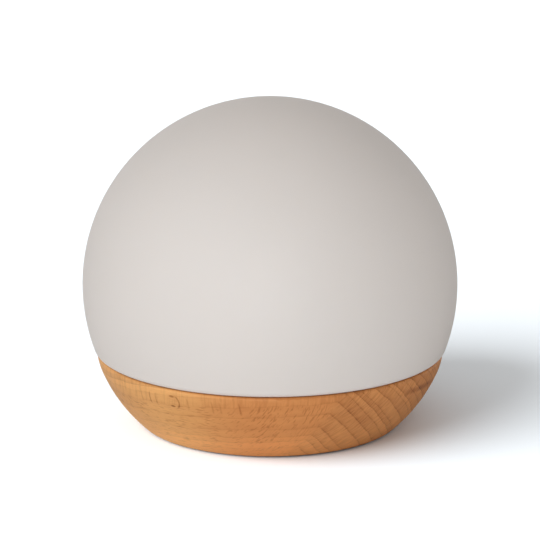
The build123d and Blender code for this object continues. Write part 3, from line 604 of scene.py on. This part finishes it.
# The coat melts into soft orange peel about 1.5 mm across, with finer grain on it
peel = add(tree, "TexNoise", {"Vector": place, "Scale": 0.7, "Detail": 1.0})
grit = add(tree, "TexNoise", {"Vector": place, "Scale": 4.0, "Detail": 1.0})
coat = add(tree, "Math", {0: grit, 1: 0.35, 2: peel}, operation="MULTIPLY_ADD")
bump = add(tree, "Bump", {"Height": coat, "Strength": 0.5, "Distance": 0.00008})
gloss = add(tree, "MapRange", {"Value": grit, 3: 0.44, 4: 0.56})
shade = add(
    tree, "Mix", {"Factor": peel, "A": linear("#262628"), "B": linear("#303032")}, data_type="RGBA"
)
body = add(tree, "BsdfPrincipled", {"Base Color": shade, "Roughness": gloss, "Normal": bump})
add(tree, "OutputMaterial", {"Surface": body})
dress(material, "base_plate")

# Wood screws of the base plate. Countersunk, cross slotted, with a rolled thread, zinc plated.
# All screws of the lamp come from one tree: a turned head with its slot cut in, and a threaded
# shank, set at each place.
def worked_metal(name, colour, roughness, lay, depth, stain=0.05):
    """A metal whose marks are drawn out: lay is their size along x, y and z."""
    material, tree, place = new_material(name)
    drawn = add(tree, "VectorMath", {0: place, 1: [1 / size for size in lay]}, operation="MULTIPLY")
    marks = add(tree, "TexNoise", {"Vector": drawn, "Scale": 1.0, "Detail": 3.0})
    cloud = add(tree, "TexNoise", {"Vector": place, "Scale": 0.25, "Detail": 2.0})
    tone = add(tree, "MapRange", {"Value": cloud, 3: 1.0 - stain, 4: 1.0 + stain})
    shade = add(tree, "VectorMath", {0: linear(colour)[:3], "Scale": tone}, operation="SCALE")
    gloss = add(
        tree, "MapRange", {"Value": marks, 1: 0.3, 2: 0.7, 3: roughness - 0.08, 4: roughness + 0.08}
    )
    bump = add(tree, "Bump", {"Height": marks, "Strength": 0.4, "Distance": depth / 1000})
    body = add(
        tree,
        "BsdfPrincipled",
        {"Base Color": shade, "Metallic": 1.0, "Roughness": gloss, "Normal": bump},
    )
    add(tree, "OutputMaterial", {"Surface": body})
    return material


# One loose point for the tree to set the heads at, which is no piece of the lamp
one_place = loose_points([(0, 0, 0)])
head_segments = 32
shank_segments = 16
rows_in_pitch = 6
slot_over = 0.02


def screw_tree():
    """Geometry nodes for a set of screws, each seated at its place with its head up or down."""
    slot_sizes = ["Slot length", "Slot width", "Slot depth"]
    thread_sizes = ["Thread radius", "Thread depth", "Pitch", "Length", "Tip"]
    tree, given = new_tree(
        "screws",
        Object=["Places", "Head section"],
        Float=["Head height", *slot_sizes, *thread_sizes, "Flip"],
        Int=["Rows"],
        Material=["Material"],
    )

    turned = {"Profile": given["Head section"], "Segments": head_segments, "Places": one_place}
    head = add(tree, "GeometryNodeGroup", turned, node_tree=lathe)
    spot = add(tree, "GeometryNodeInputPosition")
    height = add(tree, "SeparateXYZ", {0: spot}).outputs["Z"]
    half_depth = add(tree, "Math", {0: given["Slot depth"], 1: 0.5}, operation="MULTIPLY")
    share = add(tree, "Math", {0: height, 1: given["Slot depth"]}, operation="DIVIDE")
    narrow = add(tree, "MapRange", {"Value": share, 1: -0.5, 2: 0.5, 3: 0.45, 4: 1.0})
    narrow = add(tree, "CombineXYZ", {0: narrow, 1: narrow, 2: 1.0})
    narrowed = add(tree, "VectorMath", {0: spot, 1: narrow}, operation="MULTIPLY")
    slot = add(tree, "GeometryNodeJoinGeometry")
    for x, y in (("Slot length", "Slot width"), ("Slot width", "Slot length")):
        size = add(tree, "CombineXYZ", {0: given[x], 1: given[y], 2: given["Slot depth"]})
        bar = add(tree, "GeometryNodeMeshCube", {"Size": size}).outputs["Mesh"]
        bar = add(tree, "GeometryNodeSetPosition", {"Geometry": bar, "Position": narrowed})
        tree.links.new(bar.outputs[0], slot.inputs[0])
    slot_height = add(tree, "Math", {0: given["Head height"], 1: half_depth}, operation="SUBTRACT")
    slot_height = add(tree, "Math", {0: slot_height, 1: slot_over / 1000}, operation="ADD")
    slot_place = add(tree, "CombineXYZ", {2: slot_height})
    slot = add(tree, "GeometryNodeTransform", {"Geometry": slot, "Translation": slot_place})
    head = add(
        tree,
        "GeometryNodeMeshBoolean",
        {"Mesh 1": head, "Mesh 2": slot, "Self Intersection": True},
        operation="DIFFERENCE",
        solver="EXACT",
    )

    grid, row, turn = flat_grid(tree, shank_segments, given["Rows"])
    last = add(tree, "Math", {0: given["Rows"], 1: 1.0}, operation="SUBTRACT")
    run = add(tree, "Math", {0: row, 1: last}, operation="DIVIDE")
    run = add(tree, "Math", {0: run, 1: given["Length"]}, operation="MULTIPLY")
    wave = add(tree, "Math", {0: run, 1: given["Pitch"]}, operation="DIVIDE")
    wave = add(tree, "Math", {0: wave, 1: turn}, operation="SUBTRACT")
    wave = add(tree, "Math", {0: wave, 1: 0.5}, operation="PINGPONG")
    wave = add(tree, "Math", {0: wave, 1: given["Thread depth"]}, operation="MULTIPLY")
    radius = add(tree, "Math", {0: given["Thread radius"], 1: wave}, operation="SUBTRACT")
    tip = add(tree, "Math", {0: run, 1: given["Tip"]}, operation="DIVIDE", use_clamp=True)
    radius = add(tree, "Math", {0: radius, 1: tip}, operation="MULTIPLY")
    inside = add(tree, "Math", {0: row, 1: last}, operation="LESS_THAN")
    radius = add(tree, "Math", {0: radius, 1: inside}, operation="MULTIPLY")
    along = add(tree, "Math", {0: run, 1: given["Length"]}, operation="SUBTRACT")
    point = add(tree, "CombineXYZ", {0: radius, 2: along})
    shank = rolled_up(tree, grid, point, turn)

    screw = add(tree, "GeometryNodeJoinGeometry")
    for part in (head.outputs["Mesh"], shank.outputs[0]):
        tree.links.new(part, screw.inputs[0])
    facing = add(
        tree, "FunctionNodeRandomValue", {2: 0.0, 3: math.tau, "Seed": 7}, data_type="FLOAT"
    )
    way = add(tree, "CombineXYZ", {0: given["Flip"], 2: facing.outputs[1]})
    set_at_places(tree, given, screw, Rotation=way)
    return tree


screws = screw_tree()


def on_circle(radius, count, start_angle):
    """Points evenly spaced on a circle around the lamp's axis, from an angle in degrees."""
    turns = [math.radians(start_angle + 360 * i / count) for i in range(count)]
    return [(radius * math.cos(a), radius * math.sin(a)) for a in turns]


def screw_piece(name, node, points, head, radius, pitch, length, tip, flip=0.0):
    """Screws at points, with the section of a head as radius and height above its seat."""
    head_height = max(z for r, z in head)
    head_radius = max(r for r, z in head)
    sizes = {
        "Head height": head_height,
        "Slot length": head_radius * 1.15,
        "Slot width": head_radius * 0.26,
        "Slot depth": head_height * 0.6,
        "Thread radius": radius,
        "Thread depth": pitch * 0.5,
        "Pitch": pitch,
        "Length": length,
        "Tip": tip,
    }
    values = {
        "Places": loose_points(points),
        "Head section": loose_points([(r, 0, z) for r, z in head + head[:1]]),
        **{title: size / 1000 for title, size in sizes.items()},
        "Rows": round(length / pitch * rows_in_pitch) + 1,
        "Flip": flip,
        "Material": zinc,
    }
    piece = evaluate(name, screws, values)
    piece.data.set_sharp_from_angle(angle=math.radians(35))
    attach(piece, "lamp_base")
    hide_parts(node)


def pan_head(radius, height):
    """The section of a pan head: a short wall and a round shoulder."""
    shoulder = height * 0.42
    corner = arc((radius - shoulder, height - shoulder), shoulder, 0, 90, 5)
    return [(0, -0.04), (radius - 0.08, -0.04), (radius, 0.05)] + corner + [(0, height)]


# Zinc plated steel: pale, slightly blue, with a soft shine and faint clouds from passivating
zinc = worked_metal("zinc_plated_steel", "#c3c6cc", 0.32, (1.2, 1.2, 1.2), 0.006, stain=0.08)
countersunk = [(0, 0), (1.3, 0), (2.94, 1.52), (2.94, 1.62), (0, 1.62)]
plate_screw_points = [(x, y, 2.65) for x, y in on_circle(44.0, 4, 45)]
screw_piece(
    "plate_wood_screws", "plate_screws", plate_screw_points, countersunk,
    radius=1.45, pitch=1.1, length=10.3, tip=3.0, flip=math.pi,
)

# Seat ring. A ring of milky silicone on the recess floor with a shallow channel that the globe's
# neck stands in, so that glass never touches wood.
soaked = {"Subsurface Weight": 0.5, "Subsurface Radius": (0.002, 0.002, 0.002)}
silicone = moulded("translucent_silicone", "#dcdbd7", 0.5, 0.4, 0.01, **soaked)
seat_profile = [
    (58.75, 20.50), (63.75, 20.50), (63.90, 20.65), (63.90, 21.85), (63.75, 22.00), (63.30, 22.00),
    (63.10, 21.90), (60.10, 21.90), (59.90, 22.00), (58.75, 22.00), (58.60, 21.85), (58.60, 20.65),
]
seat = turned_piece("silicone_seat_ring", seat_profile, 240, silicone)
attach(seat, "lamp_base")
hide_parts("globe_seat_ring")

# Chassis. A white moulded carrier that closes the bowl's cavity and carries the light, held down
# by three wood screws through its flange.
# Moulded ABS: an even, slightly warm white with the fine grain of a spark-eroded mould
abs_white = moulded("moulded_white_abs", "#e4e3de", 0.48, 0.4, 0.012)
dress(abs_white, "chassis")
chassis_screw_points = [(x, y, 23.0) for x, y in on_circle(49.0, 3, 30)]
chassis_head = pan_head(3.0, 2.2)
screw_piece(
    "chassis_wood_screws", "chassis_screws", chassis_screw_points, chassis_head,
    radius=1.45, pitch=1.1, length=12.0, tip=3.0,
)

# Globe springs. Three strips of spring steel bent to a bulge that grips the neck from inside,
# each held to the flange by one steel rivet.
# Cold rolled strip: a grey shine with fine lines along the rolling, tinted a little by tempering
spring_steel = worked_metal("cold_rolled_spring_steel", "#a9a6a2", 0.28, (0.15, 3.0, 3.0), 0.006)
dress(spring_steel, "globe_springs")
rivet_profile = [(0, -2.9), (1.2, -2.9), (1.2, 0.0), (2.1, 0.0), (2.2, 0.1)]
rivet_profile += arc((1.15, 0.1), 0.9, 0, 90, 6)[1:] + [(0, 1.0)]
rivet_points = [(x, y, 23.5) for x, y in on_circle(52.0, 3, 90)]
rivets = turned_piece("spring_rivet_set", rivet_profile, 32, zinc, rivet_points)
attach(rivets, "lamp_base")
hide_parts("spring_rivets")

# Light. An aluminium disc spreads the heat of a round white board with sixteen chips on it. Three
# small screws go through both into brass inserts in the deck.
def from_axis(tree, place):
    """The distance from the lamp's axis in millimetres."""
    level_place = add(tree, "VectorMath", {0: place, 1: (1, 1, 0)}, operation="MULTIPLY")
    return add(tree, "VectorMath", {0: level_place}, operation="LENGTH")


# Turned aluminium: pale, with fine circles from the lathe
material, tree, place = new_material("turned_aluminium")
rub = add(
    tree,
    "TexNoise",
    {"W": from_axis(tree, place), "Scale": 6.0, "Detail": 2.0},
    noise_dimensions="1D",
)
gloss = add(tree, "MapRange", {"Value": rub, 3: 0.25, 4: 0.45})
bump = add(tree, "Bump", {"Height": rub, "Strength": 0.3, "Distance": 0.00001})
body = add(
    tree,
    "BsdfPrincipled",
    {"Base Color": linear("#d3d4d6"), "Metallic": 1.0, "Roughness": gloss, "Normal": bump},
)
add(tree, "OutputMaterial", {"Surface": body})
dress(material, "heat_spreader")

# White solder mask over aluminium: a satin white in which the copper rings show as low steps
material, tree, place = new_material("white_solder_mask")
copper_ring = 4.5
ring = add(tree, "Math", {0: from_axis(tree, place), 1: copper_ring}, operation="PINGPONG")
step = add(tree, "MapRange", {"Value": ring, 1: 1.9, 2: 2.1})
weave = add(tree, "TexNoise", {"Vector": place, "Scale": 3.0, "Detail": 1.0})
shade = add(
    tree, "Mix", {"Factor": step, "A": linear("#e6e6e2"), "B": linear("#ecece8")}, data_type="RGBA"
)
gloss = add(tree, "MapRange", {"Value": weave, 3: 0.34, 4: 0.44})
bump = add(tree, "Bump", {"Height": step, "Strength": 0.5, "Distance": 0.00004})
body = add(tree, "BsdfPrincipled", {"Base Color": shade, "Roughness": gloss, "Normal": bump})
add(tree, "OutputMaterial", {"Surface": body})
dress(material, "led_board")

# The chips: a white moulded frame round a yellow window
tree, given = new_tree(
    "light_chips",
    Float=["Ring radius", "Middle radius", "Board height", "Size", "Height"],
    Material=["Frame", "Window"],
)
size = add(tree, "CombineXYZ", {0: given["Size"], 1: given["Size"], 2: given["Height"]})
chip = add(tree, "GeometryNodeMeshCube", {"Size": size})
facing = add(tree, "SeparateXYZ", {0: add(tree, "GeometryNodeInputNormal")}).outputs["Z"]
upper = add(
    tree, "FunctionNodeCompare", {0: facing, 1: 0.5}, data_type="FLOAT", operation="GREATER_THAN"
)
rim = add(
    tree,
    "GeometryNodeExtrudeMesh",
    {"Mesh": chip.outputs["Mesh"], "Selection": upper, "Offset Scale": 0.0},
)
window_share, window_depth = 0.78, 0.12
narrower = {"Geometry": rim.outputs[0], "Selection": rim.outputs["Top"], "Scale": window_share}
inner = add(tree, "GeometryNodeScaleElements", narrower)
deeper = {"Mesh": inner, "Selection": rim.outputs["Top"], "Offset Scale": -window_depth / 1000}
sunk = add(tree, "GeometryNodeExtrudeMesh", deeper)
marked = add(
    tree,
    "GeometryNodeStoreNamedAttribute",
    {"Geometry": sunk.outputs[0], "Name": "window", "Value": sunk.outputs["Top"]},
    data_type="BOOLEAN",
    domain="FACE",
)
circles = add(tree, "GeometryNodeJoinGeometry")
for count, radius, start in ((12, "Ring radius", 15), (4, "Middle radius", 45)):
    circle = add(tree, "GeometryNodeMeshCircle", {"Vertices": count, "Radius": given[radius]})
    circle = add(
        tree, "GeometryNodeTransform", {"Geometry": circle, "Rotation": (0, 0, math.radians(start))}
    )
    tree.links.new(circle.outputs[0], circles.inputs[0])
spot = add(tree, "SeparateXYZ", {0: add(tree, "GeometryNodeInputPosition")}).outputs
turn = add(tree, "Math", {0: spot["Y"], 1: spot["X"]}, operation="ARCTAN2")
turn = add(tree, "CombineXYZ", {2: turn})
placed = add(
    tree, "GeometryNodeInstanceOnPoints", {"Points": circles, "Instance": marked, "Rotation": turn}
)
half = add(
    tree, "Math", {0: given["Height"], 1: 0.5, 2: given["Board height"]}, operation="MULTIPLY_ADD"
)
raised = add(
    tree,
    "GeometryNodeTransform",
    {"Geometry": placed, "Translation": add(tree, "CombineXYZ", {2: half})},
)
real = add(tree, "GeometryNodeRealizeInstances", {0: raised})
framed = add(tree, "GeometryNodeSetMaterial", {"Geometry": real, "Material": given["Frame"]})
window = add(tree, "GeometryNodeInputNamedAttribute", {"Name": "window"}, data_type="BOOLEAN")
done = add(
    tree,
    "GeometryNodeSetMaterial",
    {"Geometry": framed, "Selection": window, "Material": given["Window"]},
)
add(tree, "NodeGroupOutput", {0: done})
# White nylon frames, and windows of phosphor in clear gel: strong yellow with a wet shine
nylon = moulded("moulded_white_nylon", "#e9e7df", 0.42, 0.3, 0.006)
phosphor = moulded("phosphor_in_clear_gel", "#e3b93c", 0.18, 0.12, 0.004)
sizes = {"Ring radius": 15.0, "Middle radius": 6.0, "Board height": 30.6}
sizes |= {"Size": 3.0, "Height": 0.8}
values = {title: size / 1000 for title, size in sizes.items()}
chips = evaluate("light_chip_set", tree, {**values, "Frame": nylon, "Window": phosphor})
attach(chips, "lamp_base")
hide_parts("led_chips")
dress(nylon, "led_connector", "board_connectors", "switch_plunger")
led_screw_points = [(x, y, 30.6) for x, y in on_circle(23.5, 3, 30)]
screw_piece(
    "light_board_screws", "led_screws", led_screw_points, pan_head(2.3, 1.6),
    radius=1.17, pitch=0.45, length=5.6, tip=0.5,
)
# Machined brass: warm yellow, with the fine diamond knurl that grips the plastic
material, tree, place = new_material("knurled_brass")
knurl_half = 0.3
knurl = []
for slope in (1.0, -1.0):
    lean = add(tree, "VectorMath", {0: place, 1: (1.0, 1.0, slope)}, operation="DOT_PRODUCT")
    knurl.append(add(tree, "Math", {0: lean, 1: knurl_half}, operation="PINGPONG"))
knurl = add(tree, "Math", {0: knurl[0], 1: knurl[1]}, operation="MINIMUM")
bump = add(tree, "Bump", {"Height": knurl, "Strength": 0.8, "Distance": 0.0001})
gloss = add(tree, "MapRange", {"Value": knurl, 2: knurl_half, 3: 0.4, 4: 0.26})
body = add(
    tree,
    "BsdfPrincipled",
    {"Base Color": linear("#d9b25f"), "Metallic": 1.0, "Roughness": gloss, "Normal": bump},
)
add(tree, "OutputMaterial", {"Surface": body})
dress(material, "brass_inserts")

# Inner dome. A thin moulded cap of milky polycarbonate, frosted outside, pressed over the ring on
# the deck. It spreads the points of light before they reach the globe.
milky = {"IOR": 1.58, "Subsurface Weight": 0.5, "Subsurface Radius": (0.004, 0.004, 0.004)}
frosted = moulded("frosted_polycarbonate", "#f0efeb", 0.55, 0.3, 0.01, **milky)
dress(frosted, "led_cover")

# Battery. Two cells in shrink sleeve lie in the saddles of a black tray, joined by nickel strips
# and held down by a steel strap. Four short screws go through the tray into the base plate.
# Moulded black ABS: dark grey in the light, with a fine even grain
abs_black = moulded("moulded_black_abs", "#26262a", 0.46, 0.4, 0.015)
dress(abs_black, "battery_tray", "port_housing")

# Shrink sleeve: a smooth bright blue film with faint draw lines, open at both ends over bare steel
material, tree, place = new_material("shrink_sleeve_over_steel")
lines = add(tree, "VectorMath", {0: place, 1: (0.08, 1.2, 1.2)}, operation="MULTIPLY")
lines = add(tree, "TexNoise", {"Vector": lines, "Scale": 1.0, "Detail": 2.0})
shade = add(
    tree, "Mix", {"Factor": lines, "A": linear("#2f6fa8"), "B": linear("#397bb4")}, data_type="RGBA"
)
bump = add(tree, "Bump", {"Height": lines, "Strength": 0.4, "Distance": 0.00005})
sleeve = add(tree, "BsdfPrincipled", {"Base Color": shade, "Roughness": 0.3, "Normal": bump})
can = add(
    tree, "BsdfPrincipled", {"Base Color": linear("#b9b7b2"), "Metallic": 1.0, "Roughness": 0.34}
)
sleeve_end = 31.45
end = add(tree, "SeparateXYZ", {0: place}).outputs["X"]
end = add(tree, "Math", {0: end}, operation="ABSOLUTE")
end = add(tree, "Math", {0: end, 1: sleeve_end}, operation="GREATER_THAN")
mix = add(tree, "MixShader", {0: end, 1: sleeve, 2: can})
add(tree, "OutputMaterial", {"Surface": mix})
dress(material, "battery_cell_front", "battery_cell_rear")

# Nickel strip: soft grey yellow shine, with fine lines along the strip
nickel = worked_metal("rolled_nickel_strip", "#c9c3b4", 0.3, (3.0, 3.0, 0.2), 0.005)
dress(nickel, "battery_tabs")
dress(spring_steel, "battery_strap")
tray_screw_points = [(-26.0, 22.0, 5.2), (26.0, 22.0, 5.2), (0.0, -27.0, 5.6), (0.0, 18.5, 5.6)]
screw_piece(
    "tray_screw_set", "tray_screws", tray_screw_points, pan_head(2.75, 1.7),
    radius=1.47, pitch=0.5, length=3.9, tip=0.5,
)

# Control board. Green board on four posts with coils, chips, capacitors and connectors, held by
# four small screws. The port's board is made of the same material.
# Green solder mask: copper tracks 0.6 mm wide show through it as lighter lines that step aside
material, tree, place = new_material("green_solder_mask")
block_length = 4.3
lane_width = 1.2
spot = add(tree, "SeparateXYZ", {0: place}).outputs
block = add(tree, "Math", {0: spot["X"], 1: block_length}, operation="DIVIDE")
block = add(tree, "Math", {0: block}, operation="FLOOR")
jog = add(tree, "TexWhiteNoise", {"W": block}, noise_dimensions="1D").outputs["Value"]
lane = add(tree, "Math", {0: jog, 1: 2 * lane_width, 2: spot["Y"]}, operation="MULTIPLY_ADD")
row = add(tree, "Math", {0: lane, 1: lane_width}, operation="DIVIDE")
row = add(tree, "Math", {0: row}, operation="FLOOR")
laid = add(tree, "CombineXYZ", {0: block, 1: row})
laid = add(tree, "TexWhiteNoise", {"Vector": laid}, noise_dimensions="2D").outputs["Value"]
laid = add(tree, "Math", {0: laid, 1: 0.35}, operation="GREATER_THAN")
cells = add(tree, "Math", {0: lane, 1: lane_width / 2}, operation="PINGPONG")
track = add(tree, "MapRange", {"Value": cells, 1: 0.30, 2: 0.34})
track = add(tree, "Math", {0: track, 1: laid}, operation="MULTIPLY")
shade = add(
    tree, "Mix", {"Factor": track, "A": linear("#1d5c3a"), "B": linear("#2c7a4c")}, data_type="RGBA"
)
bump = add(tree, "Bump", {"Height": track, "Strength": 0.5, "Distance": 0.00004})
gloss = add(tree, "MapRange", {"Value": track, 3: 0.38, 4: 0.3})
body = add(tree, "BsdfPrincipled", {"Base Color": shade, "Roughness": gloss, "Normal": bump})
add(tree, "OutputMaterial", {"Surface": body})
dress(material, "control_board", "port_board")

# Moulded epoxy and ferrite: near black, dull and slightly sandy
epoxy = moulded("moulded_black_epoxy", "#2b2b2c", 0.6, 0.15, 0.02)
dress(epoxy, "board_parts", "usb_tongue", "switch_body")
board_screw_points = [(x, y, 9.6) for x in (-18.5, 18.5) for y in (19.5, 30.5)]
screw_piece(
    "board_screw_set", "board_screws", board_screw_points, pan_head(1.8, 1.3),
    radius=0.87, pitch=0.4, length=4.0, tip=0.8,
)

# Leads. Stranded copper in extruded PVC: a smooth, slightly waxy skin with faint draw marks.
# Red and black pairs join battery, board and light, and four thin ones go to the port.
red_pvc = moulded("extruded_red_pvc", "#b0211c", 0.36, 0.5, 0.01)
black_pvc = moulded("extruded_black_pvc", "#1e1e20", 0.38, 0.5, 0.01)
dress(red_pvc, "battery_lead_red", "led_lead_red")
dress(black_pvc, "battery_lead_black", "led_lead_black", "port_leads")

# Port. A slotted aluminium plate closes the tunnel at the back, with the button on the left and
# the steel socket on the right as seen from behind.
# Bead blasted and anodised aluminium: a fine, even, pale matt with no direction
material, tree, place = new_material("blasted_anodised_aluminium")
beads = add(tree, "TexVoronoi", {"Vector": place, "Scale": 6.0}, feature="SMOOTH_F1")
bump = add(
    tree, "Bump", {"Height": beads.outputs["Distance"], "Strength": 0.35, "Distance": 0.00003}
)
gloss = add(tree, "MapRange", {"Value": beads.outputs["Distance"], 3: 0.36, 4: 0.48})
body = add(
    tree,
    "BsdfPrincipled",
    {"Base Color": linear("#c9cacc"), "Metallic": 1.0, "Roughness": gloss, "Normal": bump},
)
add(tree, "OutputMaterial", {"Surface": body})
dress(material, "port_bezel")
dress(worked_metal("drawn_socket_steel", "#b5b5b7", 0.25, (3.0, 0.2, 3.0), 0.004), "usb_shell")

# Button. A light grey cap of moulded ABS, matt from the fine grain of its mould. It slides in the
# plate's opening and presses a small switch behind it.
button_grey = moulded("moulded_grey_abs", "#8f9092", 0.44, 0.3, 0.012)
dress(button_grey, "button_cap")
